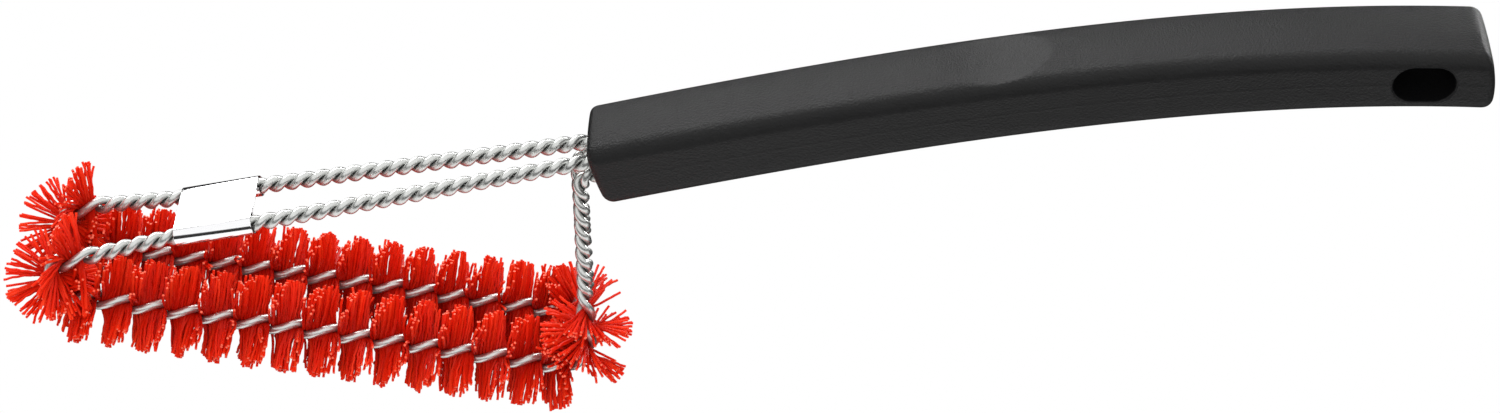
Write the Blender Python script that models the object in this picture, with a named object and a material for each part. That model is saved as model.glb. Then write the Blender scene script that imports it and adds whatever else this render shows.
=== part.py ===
"""Grill cleaning brush: two twisted-wire rods with bristle rows, a crimped sleeve and a moulded handle.

The brush stands in its working pose: both bristle rows lie level along X with their tips on z = 0, and the
handle rises towards +X. The front rod is at -Y and the rear rod at +Y. Sizes along X are measured from the
far bristle tips, and every part hangs on one empty there, so the world origin is under the object's middle.
"""

import math

import bmesh
import bpy
import numpy as np

MM = 0.001

# Whole object
CENTRE_X = 211.64 * MM  # from the far bristle tips to the middle of the length
GAP = 0.3 * MM  # clearance between touching pieces

# Twisted rods
WIRE_RADIUS = 1.2 * MM
PLAIN_TWIST_RADIUS = 1.4 * MM  # from the rod's axis to a wire's axis where the rod is bare
BRISTLE_TWIST_RADIUS = 1.85 * MM  # the same where bristles are held between the wires
PLAIN_PITCH = 10.3 * MM
BRISTLE_PITCH = {"front": 21.5 * MM, "rear": 20.9 * MM}
TWIST_CHANGE = 6.0 * MM  # length over which the twist opens up for the bristles
WIRE_SIDES = 4
PLAIN_STEPS_PER_TURN = 6
STEPS_PER_TUFT = 4

# Route of a rod in the XZ plane
ROW_HEIGHT = 14.89 * MM
STEM_SLOPE = 0.417
STEM_POINT = (61.7 * MM, 47.7 * MM)  # a point on the stem's axis, in the middle of the sleeve
FAR_BEND_RADIUS = 7.6 * MM
NEAR_BEND_RADIUS = 10.0 * MM
TOP_BEND_RADIUS = 5.0 * MM
LEG_FOOT_X = 182.6 * MM  # where the leg's axis would meet the row's axis
LEG_TOP = (169.2 * MM, 87.0 * MM)
REAR_LEG_SHIFT = -1.2 * MM
ROD_END_X = 200.0 * MM  # inside the handle
LEG_END_LENGTH = 31.0 * MM
ROUTE_STEP = 0.25 * MM

# Sideways places of the rods
ROW_SPREAD = 12.5 * MM
SLEEVE_SPREAD = 9.0 * MM
HANDLE_SPREAD = 4.8 * MM
SPREAD_BLEND = 5.0 * MM
SPREAD_STARTS = 3.0 * MM  # the stems start to spread this far inside the handle

# Bristle tufts
BRISTLE_REACH = 15.0 * MM
TUFT_ROOT_HALF = 0.2 * MM  # half thickness where the tuft passes between the wires
TUFT_ROOT_OUT = 1.1 * MM
TUFT_FLARE = math.radians(12)
INNER_BEND_SHARE = 0.7  # how far tufts reach towards the centre of a bend
ROD_CLEARANCE = 3.6 * MM
OWN_ROD_NEAR = 12.0 * MM  # a tuft's own rod counts as an obstacle beyond this length away
REACH_START = 4.0 * MM
REACH_STEP = 0.5 * MM
FAR_MITRE_PAST = 4.0 * MM  # row bristles this close to the far bend stay under its middle plane
CREST_ANGLE = math.radians(140)  # direction in which a crest of the twist looks out, up and to the front
CREST_X = {"front": 97.7 * MM, "rear": 95.1 * MM}
BRISTLE_TOP = {"front": 26.0 * MM, "rear": 12.0 * MM}  # height on the leg above the row's axis

# Sleeve
SLEEVE_LENGTH = 25.0 * MM
SLEEVE_INNER = 2.85 * MM
SLEEVE_OUTER = 3.25 * MM

# Handle
HANDLE_FRONT = (168.5 * MM, 101.9 * MM)
HANDLE_TAIL = (421.8 * MM, 189.3 * MM)
HANDLE_FRONT_SLOPE = 0.466
HANDLE_TAIL_SLOPE = 0.148
HANDLE_FRONT_SIZE = (26.9 * MM, 21.4 * MM)  # width, height
HANDLE_TAIL_SIZE = (28.9 * MM, 19.8 * MM)
HANDLE_EDGE = 3.4 * MM
HANDLE_END_EDGE = 3.0 * MM
HANDLE_STATIONS = 16
CORNER_STEPS = 4
END_EDGE_STEPS = 3

# Thumb rest, hanging slot and rod sockets, placed by length along the handle's top
THUMB_AT = 125.0 * MM
THUMB_AXES = (35.0 * MM, 23.0 * MM, 12.0 * MM)
THUMB_DEPTH = 1.6 * MM
SLOT_AT = 250.2 * MM
SLOT_SIZE = (18.0 * MM, 11.9 * MM)
SLOT_DEPTH_CENTRE = 10.0 * MM
SOCKET_RADIUS = 2.6 * MM + GAP
SOCKET_START = -12.0 * MM  # the cutter starts this far in front of the handle's face
SOCKET_END = 34.0 * MM
STEM_ENTRY = 4.3 * MM  # from the top edge of the front face to where the stems go in, along X
ROD_PAIR_DROP = 5.6 * MM  # from the stem's axis down to the leg's axis inside the handle

# Ferrule that binds the four rod ends inside the handle
FERRULE_AT = 12.0 * MM
FERRULE_LENGTH = 12.0 * MM
FERRULE_WALL = 0.9 * MM


# ---- scene and materials ----


def clear_scene():
    for obj in list(bpy.data.objects):
        bpy.data.objects.remove(obj, do_unlink=True)


def make_material(name, colour, roughness, metallic):
    material = bpy.data.materials.new(name)
    material.use_nodes = True
    shader = material.node_tree.nodes["Principled BSDF"]
    shader.inputs["Base Color"].default_value = (*colour, 1.0)
    shader.inputs["Roughness"].default_value = roughness
    shader.inputs["Metallic"].default_value = metallic
    return material


def make_materials():
    return {
        "handle": make_material("handle_plastic", (0.045, 0.045, 0.046), 0.55, 0.0),
        "wire": make_material("zinc_wire", (0.62, 0.62, 0.60), 0.35, 1.0),
        "sleeve": make_material("bright_steel", (0.78, 0.78, 0.79), 0.12, 1.0),
        "bristle": make_material("red_nylon", (0.80, 0.035, 0.015), 0.45, 0.0),
        "ferrule": make_material("plain_steel", (0.50, 0.50, 0.51), 0.40, 1.0),
    }


def make_root():
    root = bpy.data.objects.new("grill_brush", None)
    root.location = (-CENTRE_X, 0.0, 0.0)
    bpy.context.collection.objects.link(root)
    return root


def add_object(name, bm, root, material=None):
    """Turns a bmesh into a named object that hangs on the root."""
    bmesh.ops.recalc_face_normals(bm, faces=bm.faces)
    mesh = bpy.data.meshes.new(name)
    bm.to_mesh(mesh)
    bm.free()
    mesh.shade_smooth()
    mesh.set_sharp_from_angle(angle=math.radians(40))
    obj = bpy.data.objects.new(name, mesh)
    obj.parent = root
    bpy.context.collection.objects.link(obj)
    if material:
        mesh.materials.append(material)
    return obj


def hide_cutter(obj):
    obj.hide_render = True
    obj.display_type = "WIRE"


def cut(obj, cutter):
    hide_cutter(cutter)
    modifier = obj.modifiers.new(cutter.name, "BOOLEAN")
    modifier.operation = "DIFFERENCE"
    modifier.solver = "EXACT"
    modifier.object = cutter


# ---- mesh helpers ----


def loft(rings):
    """A closed solid through rings of points that all have the same count."""
    bm = bmesh.new()
    loops = [[bm.verts.new(point) for point in ring] for ring in rings]
    count = len(loops[0])
    for low, high in zip(loops, loops[1:]):
        for i in range(count):
            j = (i + 1) % count
            bm.faces.new((low[i], low[j], high[j], high[i]))
    bm.faces.new(loops[0])
    bm.faces.new(loops[-1])
    return bm


def tube(outer, inner):
    """A tube open at both ends, from its outer and inner rings at each end."""
    bm = bmesh.new()
    rings = [[bm.verts.new(point) for point in ring] for ring in (outer[0], outer[1], inner[1], inner[0])]
    count = len(rings[0])
    for low, high in zip(rings, rings[1:] + rings[:1]):
        for i in range(count):
            j = (i + 1) % count
            bm.faces.new((low[i], low[j], high[j], high[i]))
    return bm


def rounded_outline(half_width, half_height, radius, steps):
    """Points round a rectangle with round corners, in its own plane."""
    points = []
    for corner in range(4):
        start = math.pi / 2 * corner
        middle_x = (half_width - radius) * (1 if corner in (0, 3) else -1)
        middle_y = (half_height - radius) * (1 if corner in (0, 1) else -1)
        for step in range(steps + 1):
            angle = start + math.pi / 2 * step / steps
            points.append((middle_x + radius * math.cos(angle), middle_y + radius * math.sin(angle)))
    return points


def place_outline(outline, centre, across, up):
    return [centre + across * x + up * y for x, y in outline]


def unit(vector):
    return vector / np.linalg.norm(vector, axis=-1, keepdims=True)


def smooth_step(value):
    value = np.clip(value, 0.0, 1.0)
    return value * value * (3 - 2 * value)


# ---- route of a rod ----


def stem_direction():
    return unit(np.array([1.0, STEM_SLOPE]))


def stem_height(x):
    return STEM_POINT[1] + STEM_SLOPE * (x - STEM_POINT[0])


def round_corner(before, corner, after, radius):
    """Arc points that round one corner of a flat route, with the arc's centre."""
    back, ahead = unit(before - corner), unit(after - corner)
    half = math.acos(float(back @ ahead)) / 2
    centre = corner + unit(back + ahead) * radius / math.sin(half)
    first = corner + back * radius / math.tan(half) - centre
    last = corner + ahead * radius / math.tan(half) - centre
    start = math.atan2(first[1], first[0])
    turn = math.atan2(last[1], last[0]) - start
    turn = (turn + math.pi) % (2 * math.pi) - math.pi
    count = max(4, round(abs(turn) * radius / ROUTE_STEP))
    angles = start + turn * np.arange(count + 1) / count
    return centre + radius * np.stack([np.cos(angles), np.sin(angles)], axis=1), centre


def flat_route(leg_shift):
    """The rod's axis in the XZ plane: stem, far bend, row, near bend, leg, top bend, end."""
    far_corner = np.array([STEM_POINT[0] - (STEM_POINT[1] - ROW_HEIGHT) / STEM_SLOPE, ROW_HEIGHT])
    leg_top = np.array([LEG_TOP[0] + leg_shift, LEG_TOP[1]])
    corners = [
        np.array([ROD_END_X, stem_height(ROD_END_X)]),
        far_corner,
        np.array([LEG_FOOT_X + leg_shift, ROW_HEIGHT]),
        leg_top,
        leg_top + stem_direction() * LEG_END_LENGTH,
    ]
    radii = (FAR_BEND_RADIUS, NEAR_BEND_RADIUS, TOP_BEND_RADIUS)
    points, centres = [corners[0][None]], []
    for before, corner, after, radius in zip(corners, corners[1:], corners[2:], radii):
        arc, centre = round_corner(before, corner, after, radius)
        points.append(arc)
        centres.append(centre)
    points.append(corners[-1][None])
    points = np.concatenate(points)
    length = np.concatenate([[0.0], np.cumsum(np.linalg.norm(np.diff(points, axis=0), axis=1))])
    even = np.arange(0.0, length[-1], ROUTE_STEP)
    return even, np.interp(even, length, points[:, 0]), np.interp(even, length, points[:, 1]), centres


class Rod:
    """The axis of one twisted rod, with a frame, a twist radius and a twist angle all along it."""

    def __init__(self, side):
        self.side = side
        self.sign = -1.0 if side == "front" else 1.0
        self.length, x, z, self.centres = flat_route(REAR_LEG_SHIFT if side == "rear" else 0.0)
        self.turn_back = int(np.argmin(x))
        self.lay_sideways(x, z)
        self.make_frames()
        self.find_bristles(x, z)
        self.make_twist()

    def lay_sideways(self, x, z):
        """Spreads the rod sideways between its stations along the route."""
        going_out = self.length < self.length[self.turn_back]
        half_sleeve = SLEEVE_LENGTH / 2 * stem_direction()[0]
        places = [
            (HANDLE_FRONT[0] + SPREAD_STARTS, HANDLE_SPREAD),
            (STEM_POINT[0] + half_sleeve, SLEEVE_SPREAD),
            (STEM_POINT[0] - half_sleeve, SLEEVE_SPREAD),
            (x[self.turn_back] + FAR_BEND_RADIUS, ROW_SPREAD),
        ]
        stations = [self.length[np.argmax(going_out & (x < place))] for place, _ in places]
        spreads = [spread for _, spread in places]
        on_leg = ~going_out & (z > ROW_HEIGHT)
        near = ~going_out & (x > x[self.turn_back] + 4 * FAR_BEND_RADIUS)
        stations.append(self.length[np.argmax(near & (z > ROW_HEIGHT + 1 * MM))])
        spreads.append(ROW_SPREAD)
        stations.append(self.length[np.argmax(near & on_leg & (z > LEG_TOP[1] - TOP_BEND_RADIUS))])
        spreads.append(HANDLE_SPREAD)
        y = np.interp(self.length, stations, spreads)
        window = int(SPREAD_BLEND / ROUTE_STEP)
        padded = np.pad(y, window, mode="edge")
        y = np.convolve(padded, np.ones(2 * window + 1) / (2 * window + 1), mode="valid")
        self.points = np.stack([x, self.sign * y, z], axis=1)

    def make_frames(self):
        self.along = unit(np.gradient(self.points, axis=0))
        sideways = np.array([0.0, 1.0, 0.0])
        self.first = unit(sideways - self.along * (self.along @ sideways)[:, None])
        self.second = np.cross(self.along, self.first)
        self.curve = np.gradient(self.along, axis=0) / ROUTE_STEP

    def find_bristles(self, x, z):
        """Ends of the bristled stretch, a whole number of half turns from the crest in the row."""
        after_bend = self.length > self.length[self.turn_back]
        in_row = after_bend & (np.abs(z - ROW_HEIGHT) < 0.1 * MM)
        self.crest = self.length[np.argmax(in_row & (x > CREST_X[self.side]))]
        far_turn = math.pi - math.atan(STEM_SLOPE)
        start = self.length[self.turn_back] - far_turn / 2 * FAR_BEND_RADIUS
        self.far_bend_end = self.length[self.turn_back] + far_turn / 2 * FAR_BEND_RADIUS
        leg_start = self.crest + 20 * MM
        stop = self.length[np.argmax((self.length > leg_start) & (z > ROW_HEIGHT + BRISTLE_TOP[self.side]))]
        self.half = BRISTLE_PITCH[self.side] / 2
        before = round((self.crest - start) / self.half - 0.5)
        after = round((stop - self.crest) / self.half - 0.5)
        self.tufts = before + after + 1
        self.start = self.crest - (before + 0.5) * self.half
        self.stop = self.crest + (after + 0.5) * self.half

    def make_twist(self):
        """Left-hand twist, tight on the bare rod and open where it holds bristles."""
        outside = np.maximum(self.start - self.length, self.length - self.stop)
        bare = smooth_step(outside / TWIST_CHANGE)
        self.radius = BRISTLE_TWIST_RADIUS + (PLAIN_TWIST_RADIUS - BRISTLE_TWIST_RADIUS) * bare
        rate = 2 * math.pi * ((1 - bare) / BRISTLE_PITCH[self.side] + bare / PLAIN_PITCH)
        turned = np.concatenate([[0.0], np.cumsum((rate[1:] + rate[:-1]) / 2 * ROUTE_STEP)])
        self.turned = turned - np.interp(self.crest, self.length, turned)

    def at(self, length, values):
        if values.ndim == 1:
            return float(np.interp(length, self.length, values))
        return np.array([np.interp(length, self.length, values[:, i]) for i in range(3)])

    def spoke(self, length, angle):
        """Direction across the rod at an angle round its axis."""
        first, second = self.at(length, self.first), self.at(length, self.second)
        return unit(first * math.cos(angle) + second * math.sin(angle))

    def twist_angle(self, length):
        return CREST_ANGLE - self.at(length, self.turned)


# ---- twisted wires ----


def wire_stations(rod):
    """Lengths at which a wire has a ring: evenly spaced in twist angle, and on every tuft's ends."""

    def bare(first, last):
        low, high = rod.at(first, rod.turned), rod.at(last, rod.turned)
        count = math.ceil((high - low) / (2 * math.pi) * PLAIN_STEPS_PER_TURN)
        return np.interp(np.linspace(low, high, count + 1), rod.turned, rod.length)

    bristled = np.linspace(rod.start, rod.stop, rod.tufts * STEPS_PER_TUFT + 1)
    return np.concatenate([bare(0.0, rod.start)[:-1], bristled, bare(rod.stop, rod.length[-1])[1:]])


def make_wire(name, rod, phase, root, material):
    stations = wire_stations(rod)
    centres = []
    for length in stations:
        spoke = rod.spoke(length, rod.twist_angle(length) + phase)
        centres.append(rod.at(length, rod.points) + spoke * rod.at(length, rod.radius))
    centres = np.array(centres)
    tangents = unit(np.gradient(centres, axis=0))
    rings = []
    for length, centre, tangent in zip(stations, centres, tangents):
        out = centre - rod.at(length, rod.points)
        across = unit(out - tangent * (out @ tangent))
        up = np.cross(tangent, across)
        angles = [2 * math.pi * (i + 0.5) / WIRE_SIDES for i in range(WIRE_SIDES)]
        rings.append([centre + WIRE_RADIUS * (across * math.cos(a) + up * math.sin(a)) for a in angles])
    return add_object(name, loft(rings), root, material)


# ---- bristle tufts ----


def reach_of(rod, rods, length, spoke):
    """How far a bristle goes before it would meet the other row, the inside of a bend, or a rod."""
    point = rod.at(length, rod.points)
    reach = BRISTLE_REACH
    inward = -rod.sign * spoke[1]
    if inward > 0.01:
        reach = min(reach, (abs(point[1]) - GAP / 2) / inward)
    curve = rod.at(length, rod.curve)
    bend = np.linalg.norm(curve)
    if bend > 0.5 / (NEAR_BEND_RADIUS * 2):
        towards_centre = float(spoke @ curve) / bend
        if towards_centre > 0.05:
            reach = min(reach, INNER_BEND_SHARE / bend / towards_centre)
    row, stem = np.array([1.0, 0.0]), stem_direction()
    leg = unit(np.array(LEG_TOP) - np.array([LEG_FOOT_X, ROW_HEIGHT]))
    reach = min(reach, mitre_limit(point, spoke, rod.centres[1], unit(row + leg)))
    if length < rod.far_bend_end + FAR_MITRE_PAST:
        reach = min(reach, mitre_limit(point, spoke, rod.centres[0], unit(row - stem)))
    for other in rods:
        far = other is not rod
        away = np.abs(other.length - length) > OWN_ROD_NEAR
        axis = other.points[away | far][::4]
        for distance in np.arange(REACH_START, reach, REACH_STEP):
            if np.linalg.norm(axis - (point + spoke * distance), axis=1).min() < ROD_CLEARANCE:
                reach = distance - REACH_STEP
                break
    return reach


def mitre_limit(point, spoke, centre, normal):
    """Reach up to the middle plane of a bend, which bristles from either side don't cross."""
    side = float((np.array([point[0], point[2]]) - centre) @ normal)
    speed = float(np.array([spoke[0], spoke[2]]) @ normal)
    if side * speed >= 0:
        return BRISTLE_REACH
    return max(0.0, abs(side) - GAP / 2) / abs(speed)


def tuft_ring(rod, rods, length):
    """Bow-tie section of a tuft: a thin root between the wires, flaring to both rows of tips."""
    centre = rod.at(length, rod.points)
    angle = rod.twist_angle(length) + math.pi / 2
    ring = []
    for side in (0.0, math.pi):
        spoke = rod.spoke(length, angle + side)
        across = rod.spoke(length, angle + side + math.pi / 2)
        corners = []
        for flare in (-TUFT_FLARE, TUFT_FLARE):
            tip = rod.spoke(length, angle + side + flare)
            corners.append(centre + tip * reach_of(rod, rods, length, tip))
        root = centre + spoke * TUFT_ROOT_OUT
        ring += [root - across * TUFT_ROOT_HALF, corners[0], corners[1], root + across * TUFT_ROOT_HALF]
    return ring


def make_tuft(name, rod, rods, index, root, material):
    first = rod.start + index * rod.half
    stations = np.linspace(first, first + rod.half, STEPS_PER_TUFT + 1)
    stations[0] += GAP / 2
    stations[-1] -= GAP / 2
    return add_object(name, loft([tuft_ring(rod, rods, s) for s in stations]), root, material)


# ---- sleeve and ferrule ----


def band(middle, half_width, half_height, length, wall, radius):
    """A flat tube round the rods, with its axis along the stems."""
    direction = stem_direction()
    axis = np.array([direction[0], 0.0, direction[1]])
    across, up = np.array([0.0, 1.0, 0.0]), np.array([-direction[1], 0.0, direction[0]])
    outer, inner = [], []
    for end in (-length / 2, length / 2):
        outline = rounded_outline(half_width + wall, half_height + wall, radius + wall, 5)
        outer.append(place_outline(outline, middle + axis * end, across, up))
        outline = rounded_outline(half_width, half_height, radius, 5)
        inner.append(place_outline(outline, middle + axis * end, across, up))
    return tube(outer, inner)


def make_sleeve(root, material):
    middle = np.array([STEM_POINT[0], 0.0, STEM_POINT[1]])
    half_width = SLEEVE_SPREAD + SLEEVE_INNER
    wall = SLEEVE_OUTER - SLEEVE_INNER
    radius = SLEEVE_INNER * 0.98
    sleeve = band(middle, half_width, SLEEVE_INNER, SLEEVE_LENGTH, wall, radius)
    return add_object("crimped_sleeve", sleeve, root, material)


def rod_bundle_middle(depth):
    """Centre of the four rod ends, at a depth behind the handle's front face."""
    direction, start = stem_direction(), HANDLE_FRONT[0] + STEM_ENTRY
    x = start + depth * direction[0]
    down = np.array([direction[1], -direction[0]]) * ROD_PAIR_DROP / 2
    return np.array([x + down[0], 0.0, stem_height(x) + down[1]])


def ferrule_half_size():
    return HANDLE_SPREAD + SOCKET_RADIUS, ROD_PAIR_DROP / 2 + SOCKET_RADIUS


def make_ferrule(root, material):
    half_width, half_height = ferrule_half_size()
    middle = rod_bundle_middle(FERRULE_AT + FERRULE_LENGTH / 2)
    radius = SOCKET_RADIUS * 0.9
    ferrule = band(middle, half_width, half_height, FERRULE_LENGTH, FERRULE_WALL, radius)
    return add_object("rod_ferrule", ferrule, root, material)


# ---- handle ----


def handle_curve():
    """The arched line along the handle's top: places by length, with their slopes."""
    span = HANDLE_TAIL[0] - HANDLE_FRONT[0]
    t = np.linspace(0.0, 1.0, 200)
    x = HANDLE_FRONT[0] + span * t
    z = (
        (2 * t**3 - 3 * t**2 + 1) * HANDLE_FRONT[1]
        + (t**3 - 2 * t**2 + t) * span * HANDLE_FRONT_SLOPE
        + (3 * t**2 - 2 * t**3) * HANDLE_TAIL[1]
        + (t**3 - t**2) * span * HANDLE_TAIL_SLOPE
    )
    length = np.concatenate([[0.0], np.cumsum(np.hypot(np.diff(x), np.diff(z)))])
    return length, x, z


def handle_frame(length):
    """Point on the handle's top with its along and up directions."""
    lengths, x, z = handle_curve()
    point = np.array([np.interp(length, lengths, x), 0.0, np.interp(length, lengths, z)])
    slope = np.interp(length, lengths, np.gradient(z, x))
    along = unit(np.array([1.0, 0.0, slope]))
    return point, along, np.array([-along[2], 0.0, along[0]])


def handle_length():
    return handle_curve()[0][-1]


def handle_size(share):
    width = HANDLE_FRONT_SIZE[0] + (HANDLE_TAIL_SIZE[0] - HANDLE_FRONT_SIZE[0]) * share
    height = HANDLE_FRONT_SIZE[1] + (HANDLE_TAIL_SIZE[1] - HANDLE_FRONT_SIZE[1]) * share
    return width, height


def handle_ring(length, inset):
    width, height = handle_size(length / handle_length())
    point, _, up = handle_frame(length)
    centre = point - up * height / 2
    radius = HANDLE_EDGE - inset
    outline = rounded_outline(width / 2 - inset, height / 2 - inset, radius, CORNER_STEPS)
    return place_outline(outline, centre, np.array([0.0, 1.0, 0.0]), up)


def handle_rings():
    """Rings along the handle, drawn in at both ends to round their edges."""
    total = handle_length()
    edge = []
    for step in range(END_EDGE_STEPS + 1):
        angle = math.pi / 2 * step / END_EDGE_STEPS
        back = HANDLE_END_EDGE * (1 - math.cos(angle))
        edge.append((back, HANDLE_END_EDGE * (1 - math.sin(angle))))
    rings = [handle_ring(back, inset) for back, inset in edge]
    rings += [handle_ring(total * i / HANDLE_STATIONS, 0.0) for i in range(1, HANDLE_STATIONS)]
    rings += [handle_ring(total - back, inset) for back, inset in reversed(edge)]
    return rings


def make_slot_cutter(root):
    point, along, up = handle_frame(SLOT_AT)
    centre = point - up * SLOT_DEPTH_CENTRE
    outline = rounded_outline(SLOT_SIZE[0] / 2, SLOT_SIZE[1] / 2, SLOT_SIZE[1] / 2 * 0.98, 5)
    rings = []
    for y in (-HANDLE_TAIL_SIZE[0], HANDLE_TAIL_SIZE[0]):
        rings.append(place_outline(outline, centre + np.array([0.0, y, 0.0]), along, up))
    return add_object("hanging_slot_cutter", loft(rings), root)


def make_thumb_cutter(root):
    point, along, up = handle_frame(THUMB_AT)
    centre = point + up * (THUMB_AXES[2] - THUMB_DEPTH)
    bm = bmesh.new()
    bmesh.ops.create_uvsphere(bm, u_segments=36, v_segments=18, radius=1.0)
    for vert in bm.verts:
        x, y, z = (vert.co[i] * THUMB_AXES[i] for i in range(3))
        vert.co = centre + along * x + np.array([0.0, 1.0, 0.0]) * y + up * z
    return add_object("thumb_rest_cutter", bm, root)


def make_socket_cutter(name, sign, root):
    """An oblong blind hole for a stem's end and the leg's end under it."""
    direction = stem_direction()
    up = np.array([-direction[1], 0.0, direction[0]])
    side = np.array([0.0, sign * HANDLE_SPREAD, 0.0])
    half_height = ROD_PAIR_DROP / 2 + SOCKET_RADIUS
    outline = rounded_outline(SOCKET_RADIUS, half_height, SOCKET_RADIUS * 0.98, 3)
    rings = []
    for depth in (SOCKET_START, SOCKET_END):
        rings.append(place_outline(outline, rod_bundle_middle(depth) + side, np.array([0.0, 1.0, 0.0]), up))
    return add_object(name, loft(rings), root)


def make_ferrule_cutter(root):
    direction = stem_direction()
    up = np.array([-direction[1], 0.0, direction[0]])
    half_width, half_height = ferrule_half_size()
    room = FERRULE_WALL + GAP
    outline = rounded_outline(half_width + room, half_height + room, SOCKET_RADIUS, 4)
    rings = []
    for depth in (FERRULE_AT - GAP, FERRULE_AT + FERRULE_LENGTH + GAP):
        rings.append(place_outline(outline, rod_bundle_middle(depth), np.array([0.0, 1.0, 0.0]), up))
    return add_object("ferrule_cutter", loft(rings), root)


def make_handle(root, material):
    handle = add_object("handle", loft(handle_rings()), root, material)
    cut(handle, make_thumb_cutter(root))
    cut(handle, make_slot_cutter(root))
    cut(handle, make_socket_cutter("front_socket_cutter", -1.0, root))
    cut(handle, make_socket_cutter("rear_socket_cutter", 1.0, root))
    cut(handle, make_ferrule_cutter(root))
    return handle


# ---- assembly ----


def build():
    clear_scene()
    materials = make_materials()
    root = make_root()
    make_handle(root, materials["handle"])
    make_ferrule(root, materials["ferrule"])
    make_sleeve(root, materials["sleeve"])
    rods = [Rod("front"), Rod("rear")]
    for rod in rods:
        make_wire(f"{rod.side}_wire_a", rod, 0.0, root, materials["wire"])
        make_wire(f"{rod.side}_wire_b", rod, math.pi, root, materials["wire"])
        for index in range(rod.tufts):
            make_tuft(f"{rod.side}_tuft_{index + 1:02d}", rod, rods, index, root, materials["bristle"])


build()
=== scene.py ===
import math

import bmesh
import bpy
import numpy as np
from mathutils import Matrix, Vector


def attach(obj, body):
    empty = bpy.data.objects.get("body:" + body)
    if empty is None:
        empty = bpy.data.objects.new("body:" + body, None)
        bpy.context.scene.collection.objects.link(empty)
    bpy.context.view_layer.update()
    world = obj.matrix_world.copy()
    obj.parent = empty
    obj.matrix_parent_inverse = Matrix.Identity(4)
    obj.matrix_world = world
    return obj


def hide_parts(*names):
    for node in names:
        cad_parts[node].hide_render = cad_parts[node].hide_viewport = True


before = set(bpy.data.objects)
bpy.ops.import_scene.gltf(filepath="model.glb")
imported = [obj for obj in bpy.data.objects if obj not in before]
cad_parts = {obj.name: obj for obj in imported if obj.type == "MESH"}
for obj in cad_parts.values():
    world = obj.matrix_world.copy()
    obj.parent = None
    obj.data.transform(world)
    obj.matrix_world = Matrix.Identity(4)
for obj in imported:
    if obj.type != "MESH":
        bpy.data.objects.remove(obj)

MM = 0.001
SIDEWAYS = np.array([0.0, 1.0, 0.0])
UPWARDS = np.array([0.0, 0.0, 1.0])
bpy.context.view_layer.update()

# ---- sizes shared with the CAD, in its own design coordinates ----

CENTRE_X = 211.64 * MM
BRISTLE_TWIST_RADIUS = 1.85 * MM
PLAIN_TWIST_RADIUS = 1.33 * MM
PLAIN_PITCH = 10.3 * MM
BRISTLE_PITCH = {"front": 21.5 * MM, "rear": 20.9 * MM}
TWIST_CHANGE = 6.0 * MM
ROW_HEIGHT = 14.89 * MM
STEM_SLOPE = 0.417
STEM_POINT = (61.7 * MM, 47.7 * MM)
FAR_BEND_RADIUS = 7.6 * MM
NEAR_BEND_RADIUS = 10.0 * MM
TOP_BEND_RADIUS = 5.0 * MM
LEG_FOOT_X = 182.6 * MM
LEG_TOP = (169.2 * MM, 87.0 * MM)
REAR_LEG_SHIFT = -1.2 * MM
ROD_END_X = 200.0 * MM
LEG_END_LENGTH = 31.0 * MM
ROUTE_STEP = 0.25 * MM
ROW_SPREAD = 12.5 * MM
SLEEVE_SPREAD = 9.0 * MM
HANDLE_SPREAD = 4.8 * MM
SPREAD_BLEND = 5.0 * MM
SPREAD_STARTS = 3.0 * MM
ROW_TOLERANCE = 0.1 * MM
LEG_STARTS = 1.0 * MM  # above the row
LEG_AFTER_CREST = 20.0 * MM  # the leg is looked for from here on
CREST_ANGLE = math.radians(140)
CREST_X = {"front": 97.7 * MM, "rear": 95.1 * MM}
BRISTLE_TOP = {"front": 26.0 * MM, "rear": 12.0 * MM}
SLEEVE_LENGTH = 25.0 * MM
HANDLE_FRONT = (168.5 * MM, 101.9 * MM)
HANDLE_TAIL = (421.8 * MM, 189.3 * MM)
HANDLE_FRONT_SLOPE = 0.466
HANDLE_TAIL_SLOPE = 0.148
HANDLE_FRONT_SIZE = (26.9 * MM, 21.4 * MM)
HANDLE_TAIL_SIZE = (28.9 * MM, 19.8 * MM)
HANDLE_END_EDGE = 3.0 * MM
THUMB_AT = 125.0 * MM
SLOT_AT = 250.2 * MM
SLOT_SIZE = (18.0 * MM, 11.9 * MM)
SLOT_DEPTH_CENTRE = 10.0 * MM
SOCKET_RADIUS = 2.9 * MM
SOCKET_START = -12.0 * MM
SOCKET_END = 34.0 * MM
STEM_ENTRY = 4.3 * MM
ROD_PAIR_DROP = 5.6 * MM

# ---- sizes of the visible detail ----

# Edges that turn by more than this many degrees stay sharp.
WIRE_SHARP, FILAMENT_SHARP, SLEEVE_SHARP, GRIP_SHARP = 50, 70, 60, 35

WIRE_RADIUS = 1.3 * MM
WIRE_SIDES = 14
WIRE_RING_STEP = 0.5 * MM

FILAMENT_RADIUS = 0.42 * MM
FILAMENT_SIDES = 5
FILAMENT_STEPS = 16  # per half
FILAMENTS_PER_MM = 5.0
FILAMENT_REACH = 14.7 * MM
REACH_SPREAD = 0.65 * MM
ROOT_LAYER = 0.45 * MM
# How the filaments of a half turn gather, for those that point down and those that point up: the share of
# the twist that is undone at their tips, and the share of the way along the rod to the half turn's middle.
GATHER_TURN = {"front": (0.50, 0.38), "rear": (0.30, 0.38)}
GATHER_ALONG = {"front": (0.42, -0.12), "rear": (0.12, -0.12)}
GATHER_SHARE = 0.35  # part of a filament's length over which it leans round the rod
OPENING_SHARE = 0.55  # and over which it leans along the rod
GATHER_RANGE = (0.1, 1.4)  # single filaments undo this many times the usual share of the twist
GATHER_FADE = 8.0 * MM  # tufts open out over this length into the bends
ANGLE_SPREAD = math.radians(8)
FAN_SPREAD = 0.50 * MM
FAN_POWER = 1.2
LEG_MESS = 1.4 * MM  # how far the filaments on the leg stray along it
DROOP = 8.0 * MM  # how far the front filaments of the far bends sink at their tips
DROOP_POWER = 1.6
DROOP_PAST_BEND = 4.0 * MM
CLUMP_SPREAD = 0.34 * MM
CLUMP_STEP = 1.1 * MM
BOW_SPREAD = 0.50 * MM
CRIMP = 0.11 * MM
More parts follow.
